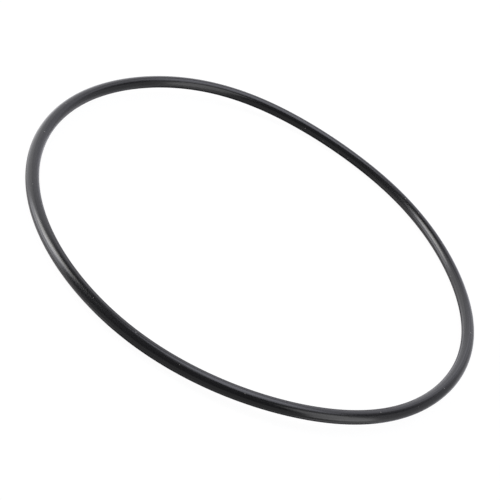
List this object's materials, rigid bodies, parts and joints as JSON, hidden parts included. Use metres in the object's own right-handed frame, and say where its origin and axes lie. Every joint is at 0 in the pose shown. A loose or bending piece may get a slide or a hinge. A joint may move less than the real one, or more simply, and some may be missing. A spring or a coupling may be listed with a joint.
{
  "type": "rubber o-ring",
  "caption": "Round black rubber sealing ring with a circular section and a trimmed parting line, lying free with a slight saddle.",
  "frame": {"origin": "centre of the ring, midway between its lowest and its highest point", "axes": "+Z is the axis of the ring, pointing up from the surface that it lies on; +X points to one of its two raised sides"},
  "size_m": [0.2006, 0.2006, 0.0076],
  "materials": {
    "rubber": "matt black moulded rubber"
  },
  "bodies": {
    "root": {"o_ring": "rubber"}
  },
  "joints": []
}
